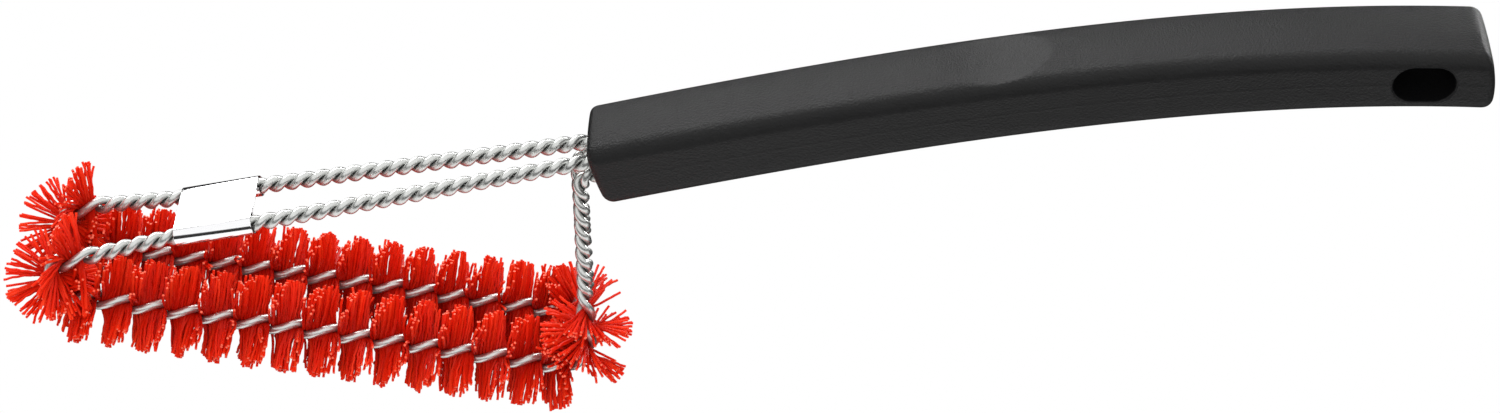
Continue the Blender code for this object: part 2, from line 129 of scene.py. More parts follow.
CRIMP_RISE = 6  # the crimp has its full height from one part in six of the length
CLEAR_OF_ROD = 3.1 * MM
END_ZONE = 45.0 * MM  # filaments rooted this near the ends of the bristles are kept off the rods
PUSH_ROUNDS = 4
FIRST_PUSHED_STEP = 3
OWN_ROD_SKIPPED = 11.0 * MM  # a filament isn't pushed off its own rod this near its root
AXIS_STRIDE = 4

SLEEVE_INNER = 2.85 * MM
SLEEVE_WALL = 0.4 * MM
PINCH_GAP = 0.25 * MM  # between the sleeve's two sheets where they are pressed together
PINCH_WRAP = 120  # degrees the lower sheet follows a stem round, from its underside
PINCH_FLAT = 5.2 * MM  # from the middle to where the two sheets meet
LOBE_STEPS, TOP_STEPS, WRAP_STEPS, FLAT_POINTS = 20, 10, 16, 9
SLEEVE_RIM_STEPS = 6

FRONT_RAKE = 1.8 * MM  # how far the lower front corner of the handle is drawn back
FRONT_RAKE_FROM = 0.45  # share of the height below the top where that starts
RAKE_BLEND = 30.0 * MM  # the shapes of both end faces fade out over this length
HANDLE_STEP = 0.6 * MM
CURVE_POINTS = 400
SIDE_PIECES, TOP_PIECES, LONG_EDGE_STEPS, END_EDGE_STEPS = 12, 40, 10, 7
FRONT_FACE_SHRINKS = (0.02, 0.25, 0.5, 0.75)
LONG_EDGE = 4.4 * MM  # radius of the grip's long edges, a little softer than in the CAD
TAIL_BULGE = 3.1 * MM  # how much further the tail reaches in its lower half than at its top
TAIL_BULGE_TURN = 1.95  # radians of the sine that this follows, from the top to the underside
HANDLE_CROWN = 2.2 * MM  # how much lower the top is at its edges than along its middle
CROWN_POWER = 2.2
CROWN_RAISED = 0.6  # share of the crown that lies above the CAD's flat top
THUMB_REST = (17.5 * MM, 11.3 * MM, 1.6 * MM)  # half length, half width, depth
THUMB_EDGE = (1.5, 0.9)  # softness where the thumb rest fades out, and how much less at its crisp edge
THUMB_CRISP = (0.5, 0.5, -0.35)  # crispness in the middle, and its gains along the top and across it
REST_PALENESS = (0.75, 0.7)  # how much of the rest's paler colour shows in its middle, and the gain along the top
REST_FADE = 0.12
REST_REACH_DOWN = 5.0 * MM
SLOT_RIM = 0.7 * MM
SLOT_RIM_STEPS = 6
SLOT_CUTTER_REACH = (2.0 * MM, 0.2 * MM)  # how far the cutter passes the faces, and its flare there
SLOT_CORNER_STEPS, SOCKET_CORNER_STEPS = 14, 8
NEARLY_ROUND = 0.985  # corner radius of an oblong hole, as a share of half its height
PARTING_RIDGE = 0.05 * MM
PARTING_HALF_WIDTH = 0.30 * MM

# ---- the studio ----

FLOOR_SIZE = 12.0
FLOOR_GREY = 0.50
PAPER_EDGE_Y = (-0.20, -0.02)
PAPER_GLOW = 1.05
TENT = ((0.0, 0.03), (0.25, 0.03), (0.31, 1.0), (1.0, 1.0))  # height of a direction, brightness there
BACK = ((0.15, 1.0), (0.60, 0.30))  # the same towards the back, as a factor
LIGHTS = (  # name, place, aimed at, size, watts, mirrored
    ("key", (-0.95, 1.25, 0.95), (0, 0, 0.05), (1.15, 1.0), 22, True),
    ("tail_light", (0.20, 1.05, 1.1), (0.20, 0, 0.18), (0.35, 0.35), 4.5, True),
    ("rim_light", (1.10, 1.15, 0.35), (0.20, 0, 0.18), (0.30, 0.30), 8, True),
    ("front_fill", (-0.3, -1.5, 1.2), (0, 0, 0.05), (1.4, 0.8), 14, False),
)

# Fitted to the outlines in the photo; angles in radians.
CAMERA_ELEVATION, CAMERA_AZIMUTH, CAMERA_ROLL = 0.69813, 0.13469, 0.2342
CAMERA_TARGET = (0.01095, 0.0, 0.08097)
CAMERA_DISTANCE = 0.98475
CAMERA_LENS = 76.8

RNG = np.random.default_rng(7)


# ---- small helpers ----


def unit(vector):
    return vector / np.linalg.norm(vector, axis=-1, keepdims=True)


def smooth_step(value):
    value = np.clip(value, 0.0, 1.0)
    return value * value * (3 - 2 * value)


def to_world(points):
    return np.asarray(points) - np.array([CENTRE_X, 0.0, 0.0])


def mesh_object(name, points, quads, caps=(), materials=(), slots=None, sharp=None):
    """A smooth object from world points, quads and extra n-gon caps, with edges sharp from some degrees."""
    points = np.asarray(points, dtype=np.float64).reshape(-1, 3)
    quads = np.asarray(quads, dtype=np.int32).reshape(-1, 4)
    loops = quads.reshape(-1)
    starts = np.arange(len(quads)) * 4
    if len(caps):
        caps = np.asarray(caps, dtype=np.int32)
        starts = np.concatenate([starts, len(loops) + np.arange(len(caps)) * caps.shape[1]])
        loops = np.concatenate([loops, caps.reshape(-1)])
    mesh = bpy.data.meshes.new(name)
    mesh.vertices.add(len(points))
    mesh.vertices.foreach_set("co", points.reshape(-1))
    mesh.loops.add(len(loops))
    mesh.loops.foreach_set("vertex_index", loops)
    mesh.polygons.add(len(starts))
    mesh.polygons.foreach_set("loop_start", starts.astype(np.int32))
    for material in materials:
        mesh.materials.append(material)
    if slots is not None:
        mesh.polygons.foreach_set("material_index", np.asarray(slots, dtype=np.int32))
    mesh.update(calc_edges=True)
    mesh.validate()
    mesh.shade_smooth()
    if sharp:
        mesh.set_sharp_from_angle(angle=math.radians(sharp))
    obj = bpy.data.objects.new(name, mesh)
    bpy.context.scene.collection.objects.link(obj)
    return obj


def add_attribute(obj, name, values):
    attribute = obj.data.attributes.new(name, "FLOAT", "POINT")
    attribute.data.foreach_set("value", np.asarray(values, dtype=np.float32).reshape(-1))


def ring_quads(rings, sides):
    """Quads between successive rings of points numbered ring by ring."""
    low = np.arange(rings - 1)[:, None] * sides
    side = np.arange(sides)[None, :]
    after = (side + 1) % sides
    quads = np.stack([low + side, low + after, low + sides + after, low + sides + side], axis=-1)
    return quads.reshape(-1, 4)


def end_caps(rings, sides):
    """The faces that close the first and the last of these rings."""
    last = (rings - 1) * sides
    return [list(range(sides))[::-1], list(range(last, last + sides))]


def rounded_outline(half_width, half_height, radius, steps, on_sides=(), on_top=()):
    """Points round a rectangle with round corners, with extra points at these shares of its flats."""
    points = []
    for corner in range(4):
        middle_x = (half_width - radius) * (1 if corner in (0, 3) else -1)
        middle_y = (half_height - radius) * (1 if corner in (0, 1) else -1)
        for step in range(steps + 1):
            angle = math.pi / 2 * (corner + step / steps)
            point = (middle_x + radius * math.cos(angle), middle_y + radius * math.sin(angle))
            points.append(point)
        if corner in (0, 2):
            flat = np.array([-2 * middle_x, 0.0])
            shares = on_top
        else:
            flat = np.array([0.0, -2 * middle_y])
            shares = on_sides
        points += [tuple(np.array(points[-1]) + flat * share) for share in shares]
    return points


# ---- route of a rod, as in the CAD ----


def stem_direction():
    return unit(np.array([1.0, STEM_SLOPE]))


def stem_height(x):
    return STEM_POINT[1] + STEM_SLOPE * (x - STEM_POINT[0])


def round_corner(before, corner, after, radius):
    """Points on the arc that rounds a corner of the route."""
    back, ahead = unit(before - corner), unit(after - corner)
    half = math.acos(float(back @ ahead)) / 2
    centre = corner + unit(back + ahead) * radius / math.sin(half)
    first = corner + back * radius / math.tan(half) - centre
    last = corner + ahead * radius / math.tan(half) - centre
    start = math.atan2(first[1], first[0])
    turn = math.atan2(last[1], last[0]) - start
    turn = (turn + math.pi) % (2 * math.pi) - math.pi
    count = max(4, round(abs(turn) * radius / ROUTE_STEP))
    angles = start + turn * np.arange(count + 1) / count
    return centre + radius * np.stack([np.cos(angles), np.sin(angles)], axis=1)


def flat_route(leg_shift):
    """Lengths along a rod, and its x and z there, before it is laid sideways."""
    far_corner = np.array([STEM_POINT[0] - (STEM_POINT[1] - ROW_HEIGHT) / STEM_SLOPE, ROW_HEIGHT])
    leg_top = np.array([LEG_TOP[0] + leg_shift, LEG_TOP[1]])
    corners = [
        np.array([ROD_END_X, stem_height(ROD_END_X)]),
        far_corner,
        np.array([LEG_FOOT_X + leg_shift, ROW_HEIGHT]),
        leg_top,
        leg_top + stem_direction() * LEG_END_LENGTH,
    ]
    radii = (FAR_BEND_RADIUS, NEAR_BEND_RADIUS, TOP_BEND_RADIUS)
    points = [corners[0][None]]
    for before, corner, after, radius in zip(corners, corners[1:], corners[2:], radii):
        points.append(round_corner(before, corner, after, radius))
    points.append(corners[-1][None])
    points = np.concatenate(points)
    length = np.concatenate([[0.0], np.cumsum(np.linalg.norm(np.diff(points, axis=0), axis=1))])
    even = np.arange(0.0, length[-1], ROUTE_STEP)
    return even, np.interp(even, length, points[:, 0]), np.interp(even, length, points[:, 1])


class Rod:
    """The axis of one twisted rod, with its frame, twist radius and twist angle."""

    def __init__(self, side):
        self.side = side
        self.sign = -1.0 if side == "front" else 1.0
        self.length, x, z = flat_route(REAR_LEG_SHIFT if side == "rear" else 0.0)
        self.turn_back = int(np.argmin(x))
        self.lay_sideways(x, z)
        self.make_frames()
        self.find_bristles(x, z)
        self.make_twist()

    def lay_sideways(self, x, z):
        """The two rods spread from the handle to the bristle rows, and close up again on the legs."""
        going_out = self.length < self.length[self.turn_back]
        half_sleeve = SLEEVE_LENGTH / 2 * stem_direction()[0]
        places = [
            (HANDLE_FRONT[0] + SPREAD_STARTS, HANDLE_SPREAD),
            (STEM_POINT[0] + half_sleeve, SLEEVE_SPREAD),
            (STEM_POINT[0] - half_sleeve, SLEEVE_SPREAD),
            (x[self.turn_back] + FAR_BEND_RADIUS, ROW_SPREAD),
        ]
        stations = [self.length[np.argmax(going_out & (x < place))] for place, _ in places]
        spreads = [spread for _, spread in places]
        near = ~going_out & (x > x[self.turn_back] + 4 * FAR_BEND_RADIUS)
        stations.append(self.length[np.argmax(near & (z > ROW_HEIGHT + LEG_STARTS))])
        spreads.append(ROW_SPREAD)
        stations.append(self.length[np.argmax(near & (z > LEG_TOP[1] - TOP_BEND_RADIUS))])
        spreads.append(HANDLE_SPREAD)
        y = np.interp(self.length, stations, spreads)
        window = int(SPREAD_BLEND / ROUTE_STEP)
        padded = np.pad(y, window, mode="edge")
        y = np.convolve(padded, np.ones(2 * window + 1) / (2 * window + 1), mode="valid")
        self.points = np.stack([x, self.sign * y, z], axis=1)

    def make_frames(self):
        self.along = unit(np.gradient(self.points, axis=0))
        self.first = unit(SIDEWAYS - self.along * (self.along @ SIDEWAYS)[:, None])
        self.second = np.cross(self.along, self.first)

    def find_bristles(self, x, z):
        """Where the bristles start and stop: whole half turns, counted from one crest of the row."""
        after_bend = self.length > self.length[self.turn_back]
        in_row = after_bend & (np.abs(z - ROW_HEIGHT) < ROW_TOLERANCE)
        self.row = self.length[in_row][[0, -1]]
        self.crest = self.length[np.argmax(in_row & (x > CREST_X[self.side]))]
        far_turn = math.pi - math.atan(STEM_SLOPE)
        start = self.length[self.turn_back] - far_turn / 2 * FAR_BEND_RADIUS
        past_top = z > ROW_HEIGHT + BRISTLE_TOP[self.side]
        stop = self.length[np.argmax((self.length > self.crest + LEG_AFTER_CREST) & past_top)]
        self.half = BRISTLE_PITCH[self.side] / 2
        before = round((self.crest - start) / self.half - 0.5)
        after = round((stop - self.crest) / self.half - 0.5)
        self.tufts = before + after + 1
        self.start = self.crest - (before + 0.5) * self.half
        self.stop = self.crest + (after + 0.5) * self.half

    def make_twist(self):
        outside = np.maximum(self.start - self.length, self.length - self.stop)
        bare = smooth_step(outside / TWIST_CHANGE)
        self.radius = BRISTLE_TWIST_RADIUS + (PLAIN_TWIST_RADIUS - BRISTLE_TWIST_RADIUS) * bare
        rate = 2 * math.pi * ((1 - bare) / BRISTLE_PITCH[self.side] + bare / PLAIN_PITCH)
        turned = np.concatenate([[0.0], np.cumsum((rate[1:] + rate[:-1]) / 2 * ROUTE_STEP)])
        self.turned = turned - np.interp(self.crest, self.length, turned)

    def row_share(self, length):
        """1 on the straight row, fading to 0 in the bends at its ends."""
        inside = np.minimum(length - self.row[0], self.row[1] - length)
        return smooth_step(inside / GATHER_FADE + 0.5)

    def at(self, length, values):
        """Values that belong to the rod's own points, read at other lengths."""
        if values.ndim == 1:
            return np.interp(length, self.length, values)
        return np.stack([np.interp(length, self.length, values[:, i]) for i in range(3)], axis=-1)

    def spoke(self, length, angle):
        """Direction out from the rod's axis, at an angle round it."""
        first, second = self.at(length, self.first), self.at(length, self.second)
        return unit(first * np.cos(angle)[..., None] + second * np.sin(angle)[..., None])

    def twist_angle(self, length):
        return CREST_ANGLE - self.at(length, self.turned)


# ---- materials ----


def new_material(name):
    material = bpy.data.materials.new(name)
    material.use_nodes = True
    tree = material.node_tree
    return material, tree, tree.nodes["Principled BSDF"]


def add_node(tree, kind, inputs=None, **settings):
    node = tree.nodes.new(kind)
    for key, value in settings.items():
        setattr(node, key, value)
    for key, value in (inputs or {}).items():
        node.inputs[key].default_value = value
    return node


def object_coordinates(tree):
    return add_node(tree, "ShaderNodeTexCoord").outputs["Object"]


def attribute(tree, name):
    return add_node(tree, "ShaderNodeAttribute", attribute_name=name).outputs["Fac"]


def noise(tree, scale, detail=2.0, roughness=0.5):
    settings = {"Scale": scale, "Detail": detail, "Roughness": roughness}
    node = add_node(tree, "ShaderNodeTexNoise", settings)
    tree.links.new(object_coordinates(tree), node.inputs["Vector"])
    return node.outputs["Fac"]


def grey(level):
    return (level, level, level)


def ramp(tree, source, stops):
    node = add_node(tree, "ShaderNodeValToRGB")
    elements = node.color_ramp.elements
    while len(elements) < len(stops):
        elements.new(0.5)
    for element, (place, colour) in zip(elements, stops):
        element.position = place
        element.color = (*colour, 1.0)
    tree.links.new(source, node.inputs["Fac"])
    return node.outputs["Color"]


def to_range(tree, source, low, high):
    node = add_node(tree, "ShaderNodeMapRange", {"To Min": low, "To Max": high})
    tree.links.new(source, node.inputs["Value"])
    return node.outputs["Result"]


def bump(tree, shader, source, strength, distance):
    node = add_node(tree, "ShaderNodeBump", {"Strength": strength, "Distance": distance})
    tree.links.new(source, node.inputs["Height"])
    tree.links.new(node.outputs["Normal"], shader.inputs["Normal"])


def mix_colours(tree, share, first, second, blend="MIX"):
    node = add_node(tree, "ShaderNodeMix", data_type="RGBA", blend_type=blend)
    sockets = {socket.identifier: socket for socket in node.inputs}
    for key, value in (("Factor_Float", share), ("A_Color", first), ("B_Color", second)):
        if isinstance(value, bpy.types.NodeSocket):
            tree.links.new(value, sockets[key])
        else:
            sockets[key].default_value = value
    return {socket.identifier: socket for socket in node.outputs}["Result_Color"]


def plastic_material():
    """Matte black moulded plastic with a fine grain, paler in the thumb rest, with its shine taken out
    inside the slot as painted shade.
    """
    material, tree, shader = new_material("grained_black_plastic")
    cloud = noise(tree, 60, 3.0)
    grain = noise(tree, 1500, 3.0, 0.7)
    colour = ramp(tree, cloud, [(0.3, (0.0042, 0.0042, 0.0044)), (0.7, (0.0054, 0.0054, 0.0056))])
    # paler colour in the thumb rest, fading out towards its front end
    rest_paler = mix_colours(tree, attribute(tree, "rest"), colour, (0.0165, 0.0165, 0.0168, 1.0))
    tree.links.new(rest_paler, shader.inputs["Base Color"])
    tree.links.new(to_range(tree, cloud, 0.34, 0.41), shader.inputs["Roughness"])
    # painted shade: no shine inside the slot, so its walls stay dark
    shine = to_range(tree, attribute(tree, "slot_shade_mask"), 0.31, 0.0)
    tree.links.new(shine, shader.inputs["Specular IOR Level"])
    bump(tree, shader, grain, 0.60, 0.0007)
    return material


def wire_material():
    """Bright zinc-plated wire, slightly mottled, with painted shade darkening the groove between the
    strands.
    """
    material, tree, shader = new_material("zinc_plated_wire")
    mottle = noise(tree, 420, 3.0, 0.6)
    plating = ramp(tree, mottle, [(0.3, (0.69, 0.70, 0.68)), (0.7, (0.77, 0.78, 0.76))])
    # painted shade: the colour darkens where each strand faces into the groove between the two strands
    shade = [(0.0, grey(1.0)), (0.45, grey(0.92)), (0.90, grey(0.48))]
    painted_groove_shade = ramp(tree, attribute(tree, "groove"), shade)
    colour = mix_colours(tree, 1.0, plating, painted_groove_shade, "MULTIPLY")
    tree.links.new(colour, shader.inputs["Base Color"])
    shader.inputs["Metallic"].default_value = 0.92
    tree.links.new(to_range(tree, noise(tree, 900, 2.0), 0.28, 0.36), shader.inputs["Roughness"])
    bump(tree, shader, noise(tree, 1800, 2.0), 0.03, 0.0001)
    return material


def sleeve_material():
    """Polished steel with faint smudges."""
    material, tree, shader = new_material("polished_steel_sleeve")
    smudge = noise(tree, 140, 3.0, 0.6)
    colour = ramp(tree, smudge, [(0.3, (0.96, 0.96, 0.97)), (0.7, (0.99, 0.99, 1.0))])
    tree.links.new(colour, shader.inputs["Base Color"])
    shader.inputs["Metallic"].default_value = 1.0
    tree.links.new(to_range(tree, smudge, 0.07, 0.14), shader.inputs["Roughness"])
    bump(tree, shader, noise(tree, 260, 2.0), 0.05, 0.0002)
    return material


def bristle_material():
    """Red-orange nylon, each filament a little different, with painted shade darkening it towards the
    roots.
    """
    material, tree, shader = new_material("red_nylon_filament")
    reds = [(0.0, (0.80, 0.018, 0.003)), (0.6, (0.92, 0.030, 0.006)), (1.0, (0.97, 0.052, 0.012))]
    body = ramp(tree, attribute(tree, "tone"), reds)
    # painted shade: darker towards the roots, where the filaments shade one another, up to the full colour
    # at the tips
    depth = [(0.0, (0.42, 0.14, 0.16)), (0.5, (0.80, 0.52, 0.52)), (1.0, (1.0, 1.0, 1.0))]
    tips = ramp(tree, attribute(tree, "along"), depth)
    colour = mix_colours(tree, 1.0, body, tips, "MULTIPLY")
    tree.links.new(colour, shader.inputs["Base Color"])
    tree.links.new(to_range(tree, noise(tree, 1500, 2.0), 0.34, 0.50), shader.inputs["Roughness"])
    shader.inputs["Specular IOR Level"].default_value = 0.12
    return material


def tip_material():
    """Cut end of a filament, paler than its side: partly the cut end's own paler colour, partly a painted
    highlight for the light the ends catch.
    """
    material, tree, shader = new_material("red_nylon_cut_end")
    # partly painted highlight: the cut ends are paler and more orange than the filaments' sides
    reds = [(0.3, (0.92, 0.085, 0.035)), (0.7, (0.98, 0.17, 0.09))]
    colour = ramp(tree, noise(tree, 900, 1.0), reds)
    tree.links.new(colour, shader.inputs["Base Color"])
    shader.inputs["Roughness"].default_value = 0.5
    return material


# ---- wires ----


def make_wire(name, rod, phase, material):
    """One round strand that winds round the rod's axis."""
    count = int(rod.length[-1] / WIRE_RING_STEP) + 1
    stations = np.linspace(0.0, rod.length[-1], count)
    spokes = rod.spoke(stations, rod.twist_angle(stations) + phase)
    axis = rod.at(stations, rod.points)
    centres = axis + spokes * rod.at(stations, rod.radius)[:, None]
    tangents = unit(np.gradient(centres, axis=0))
    across = unit(spokes - tangents * np.sum(spokes * tangents, axis=1, keepdims=True))
    up = np.cross(tangents, across)
    angles = 2 * math.pi * np.arange(WIRE_SIDES) / WIRE_SIDES
    rings = centres[:, None] + WIRE_RADIUS * (
        across[:, None] * np.cos(angles)[None, :, None] + up[:, None] * np.sin(angles)[None, :, None]
    )
    quads, caps = ring_quads(count, WIRE_SIDES), end_caps(count, WIRE_SIDES)
    wire = mesh_object(name, to_world(rings), quads, caps, [material], sharp=WIRE_SHARP)
    # how far each point faces into the groove between the strands, for the wire's painted groove shade
    add_attribute(wire, "groove", np.tile(0.5 - 0.5 * np.cos(angles), count))
    return wire


# ---- bristles ----


def clump_noise(rod, roots):
    """Smooth random values along the rod, shared by neighbouring filaments."""
    count = int((rod.stop - rod.start) / CLUMP_STEP) + 3
    values = RNG.normal(0.0, 1.0, count)
    place = (roots - rod.start) / CLUMP_STEP
    low = np.clip(place.astype(int), 0, count - 2)
    share = smooth_step(place - low)
    return values[low] * (1 - share) + values[low + 1] * share


def filament_paths(rod):
    """Where a rod's filaments are rooted, and the centre lines of their halves from root to tip."""
    count = int((rod.stop - rod.start) / MM * FILAMENTS_PER_MM)
    roots = rod.start + (np.arange(count) + RNG.random(count)) / count * (rod.stop - rod.start)
    angle = rod.twist_angle(roots) + math.pi / 2
    between = rod.spoke(roots, angle + math.pi / 2)
    layer = RNG.uniform(-ROOT_LAYER, ROOT_LAYER, count)
    centre = rod.at(roots, rod.points) + between * layer[:, None]
    halves = [half_paths(rod, roots, angle + half_turn, between) for half_turn in (math.pi, 0.0)]
    return roots, [centre[:, None] + half for half in halves]


def half_paths(rod, roots, angle, between):
    """Centre lines of one half of every filament, measured from its root."""
    count = len(roots)
    along = rod.at(roots, rod.along)[:, None]
    share = np.arange(FILAMENT_STEPS + 1) / FILAMENT_STEPS
    reach = FILAMENT_REACH - np.abs(RNG.normal(0.0, REACH_SPREAD, count))
    spokes, drawn_along = gather(rod, roots, angle, share)
    on_leg = smooth_step((roots - rod.row[1]) / GATHER_FADE)
    lean = RNG.normal(0.0, 1.0, count) * (FAN_SPREAD + LEG_MESS * on_leg)
    lean += CLUMP_SPREAD * clump_noise(rod, roots)
    paths = spokes * (reach[:, None] * share)[..., None]
    paths = paths + along * (lean[:, None] * share**FAN_POWER + drawn_along)[..., None]
    far_bend = smooth_step((rod.length[rod.turn_back] + DROOP_PAST_BEND - roots) / GATHER_FADE)
    sunk = DROOP * far_bend * np.clip(-spokes[:, -1, 1], 0.0, 1.0)
    paths = paths - UPWARDS * (sunk[:, None] * share**DROOP_POWER)[..., None]
    return bow_and_crimp(paths, along, between, share)


def gather(rod, roots, angle, share):
    """How the filaments of a half turn draw together: their directions out, and the way along the rod."""
    off_crest = (roots - rod.start) % rod.half - rod.half / 2
    in_row = rod.row_share(roots)
    upward = smooth_step(0.5 + rod.spoke(roots, angle)[:, 2])
    undone = in_row * np.interp(upward, (0.0, 1.0), GATHER_TURN[rod.side])
    lean_along = in_row * np.interp(upward, (0.0, 1.0), GATHER_ALONG[rod.side])
    undone *= RNG.uniform(*GATHER_RANGE, len(roots))
    stray = undone * math.pi * off_crest / rod.half + RNG.normal(0.0, ANGLE_SPREAD, len(roots))
    turn = angle[:, None] + stray[:, None] * smooth_step(share / GATHER_SHARE)
    first, second = (rod.at(roots, axis)[:, None] for axis in (rod.first, rod.second))
    spokes = first * np.cos(turn)[..., None] + second * np.sin(turn)[..., None]
    drawn_along = (-lean_along * off_crest)[:, None] * smooth_step(share / OPENING_SHARE)
    return spokes, drawn_along


def bow_and_crimp(paths, along, between, share):
    """Gives every filament a bow of its own and the fine waves of crimped nylon."""
    count = len(paths)
    bow = RNG.normal(0.0, BOW_SPREAD, (count, 2))
    phase = RNG.uniform(0.0, 2 * math.pi, count)
    plane = RNG.uniform(0.0, math.pi, count)[:, None, None]
    arch = np.sin(math.pi * share)[None, :]
    paths = paths + along * (bow[:, :1] * arch)[..., None]
    paths = paths + between[:, None] * (bow[:, 1:] * share[None, :] ** 2)[..., None]
    steps = np.arange(FILAMENT_STEPS + 1)[None, :]
    wave = CRIMP * np.sin(math.pi / 2 * steps + phase[:, None])
    wave *= smooth_step(share * CRIMP_RISE)[None, :]
    sway = along * np.cos(plane) + between[:, None] * np.sin(plane)
    return paths + sway * wave[..., None]


def push_off_rods(rod, rods, roots, paths):
    """Filaments near the bends slide round the rods they meet instead of passing through them."""
    busy = (roots < rod.start + END_ZONE) | (roots > rod.stop - END_ZONE)
    index = np.where(busy)[0]
    points = paths[index]
    for _ in range(PUSH_ROUNDS):
        for other in rods:
            axis, length = other.points[::AXIS_STRIDE], other.length[::AXIS_STRIDE]
            near_root = np.abs(length[None] - roots[index][:, None]) < OWN_ROD_SKIPPED
            for step in range(FIRST_PUSHED_STEP, FILAMENT_STEPS + 1):
                here = points[:, step]
                gap = np.linalg.norm(here[:, None] - axis[None], axis=2)
                if other is rod:
                    gap = np.where(near_root, 1.0, gap)
                nearest = np.argmin(gap, axis=1)
                distance = gap[np.arange(len(here)), nearest]
                away = here - axis[nearest]
                tangent = other.along[::AXIS_STRIDE][nearest]
                away = unit(away - tangent * np.sum(away * tangent, axis=1, keepdims=True) + 1e-9)
                depth = np.clip(CLEAR_OF_ROD - distance, 0.0, None)
                points[:, step] += away * depth[:, None]
        delta = points - paths[index]
        smooth = delta.copy()
        smooth[:, 1:-1] = (delta[:, :-2] + 2 * delta[:, 1:-1] + delta[:, 2:]) / 4
        smooth[:, 0] = 0.0
        smooth[:, -1] = (delta[:, -2] + delta[:, -1]) / 2
        points = paths[index] + smooth
    paths = paths.copy()
    paths[index] = points
    return paths


def make_tufts(rod, rods, materials):
    """All bristles of a rod, one piece for each half turn of the twist."""
    roots, halves = filament_paths(rod)
    halves = [push_off_rods(rod, rods, roots, half) for half in halves]
    paths = np.concatenate([halves[0][:, :0:-1], halves[1]], axis=1)
    paths[..., 2] = np.maximum(paths[..., 2], FILAMENT_RADIUS)
    tones = RNG.random(len(roots))
    for index in range(rod.tufts):
        first = rod.start + index * rod.half
        inside = (roots >= first) & (roots < first + rod.half)
        name = f"{rod.side}_bristles_{index + 1:02d}"
        tuft = make_tuft(name, paths[inside], tones[inside], materials)
        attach(tuft, "root")
        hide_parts(f"{rod.side}_tuft_{index + 1:02d}")


def make_tuft(name, paths, tones, materials):
    """Filaments along these paths, with their cut ends in the second material."""
    count, steps = paths.shape[:2]
    tangents = unit(np.gradient(paths, axis=1))
    guide = np.where(np.abs(tangents[:, :1, 1:2]) > 0.8, [[[1.0, 0.0, 0.0]]], [[[0.0, 1.0, 0.0]]])
    across = unit(np.cross(tangents, guide))
    up = np.cross(tangents, across)
    angles = 2 * math.pi * np.arange(FILAMENT_SIDES) / FILAMENT_SIDES
    rings = paths[:, :, None] + FILAMENT_RADIUS * (
        across[:, :, None] * np.cos(angles)[:, None] + up[:, :, None] * np.sin(angles)[:, None]
    )
    offset = np.arange(count)[:, None, None] * steps * FILAMENT_SIDES
    quads = (ring_quads(steps, FILAMENT_SIDES)[None] + offset).reshape(-1, 4)
    caps = (np.array(end_caps(steps, FILAMENT_SIDES))[None] + offset).reshape(-1, FILAMENT_SIDES)
    slots = np.concatenate([np.zeros(len(quads), int), np.ones(len(caps), int)])
    obj = mesh_object(name, to_world(rings), quads, caps, materials, slots, sharp=FILAMENT_SHARP)
    share = np.abs(np.linspace(-1.0, 1.0, steps))
    shape = (count, steps, FILAMENT_SIDES)
    add_attribute(obj, "along", np.broadcast_to(share[None, :, None], shape))
    add_attribute(obj, "tone", np.broadcast_to(tones[:, None, None], shape))
    return obj


# ---- sleeve ----


def sleeve_outline(grow):
    """Section of the sleeve: a flat top sheet, a lobe round each stem, the underside pressed up between."""
    radius = SLEEVE_INNER + grow
    pressed = SLEEVE_INNER - PINCH_GAP - grow
    lobe = [math.pi * (step / LOBE_STEPS - 0.5) for step in range(LOBE_STEPS + 1)]
    points = [(SLEEVE_SPREAD + radius * math.cos(a), radius * math.sin(a)) for a in lobe]
    points += [(SLEEVE_SPREAD * (1 - 2 * step / TOP_STEPS), radius) for step in range(1, TOP_STEPS)]
    points += [(-SLEEVE_SPREAD - radius * math.cos(a), -radius * math.sin(a)) for a in lobe]
    wrap = [math.radians(PINCH_WRAP * step / WRAP_STEPS) for step in range(1, WRAP_STEPS + 1)]
    points += [(-SLEEVE_SPREAD + radius * math.sin(a), -radius * math.cos(a)) for a in wrap]
    points += [(x, pressed) for x in np.linspace(-PINCH_FLAT, PINCH_FLAT, FLAT_POINTS)]
    points += [(SLEEVE_SPREAD - radius * math.sin(a), -radius * math.cos(a)) for a in wrap[::-1]]
    return points


def sleeve_profile():
    """The wall, as pairs of growth from the inner face and place along the sleeve, with round rims."""
    rim, half = SLEEVE_WALL / 2, SLEEVE_LENGTH / 2
    profile = []
    for end in (-1.0, 1.0):
        for step in range(SLEEVE_RIM_STEPS + 1):
            angle = math.pi * step / SLEEVE_RIM_STEPS
            grow = rim - end * rim * math.cos(angle)
            profile.append((grow, end * (half - rim + rim * math.sin(angle))))
    return profile


def make_sleeve(material):
    direction = stem_direction()
    axis = np.array([direction[0], 0.0, direction[1]])
    up = np.array([-direction[1], 0.0, direction[0]])
    middle = np.array([STEM_POINT[0], 0.0, STEM_POINT[1]])
    rings = []
    for grow, place in sleeve_profile():
        rings.append([middle + axis * place + SIDEWAYS * x + up * y for x, y in sleeve_outline(grow)])
    sides = len(rings[0])
    last = (len(rings) - 1) * sides + np.arange(sides)
    first = np.arange(sides)
    close = np.stack([last, np.roll(last, -1), np.roll(first, -1), first], axis=1)
    quads = np.concatenate([ring_quads(len(rings), sides), close])
    sleeve = mesh_object("sleeve_shell", to_world(rings), quads, (), [material], sharp=SLEEVE_SHARP)
    recalculate(sleeve)
    return sleeve


# ---- handle ----


def handle_curve():
    """Length, x, z and slope along the arched top of the handle."""
    span = HANDLE_TAIL[0] - HANDLE_FRONT[0]
    t = np.linspace(0.0, 1.0, CURVE_POINTS)
    x = HANDLE_FRONT[0] + span * t
    z = (
        (2 * t**3 - 3 * t**2 + 1) * HANDLE_FRONT[1]
        + (t**3 - 2 * t**2 + t) * span * HANDLE_FRONT_SLOPE
        + (3 * t**2 - 2 * t**3) * HANDLE_TAIL[1]
        + (t**3 - t**2) * span * HANDLE_TAIL_SLOPE
    )
    length = np.concatenate([[0.0], np.cumsum(np.hypot(np.diff(x), np.diff(z)))])
    return length, x, z, np.gradient(z, x)


CURVE = handle_curve()
HANDLE_LENGTH = CURVE[0][-1]


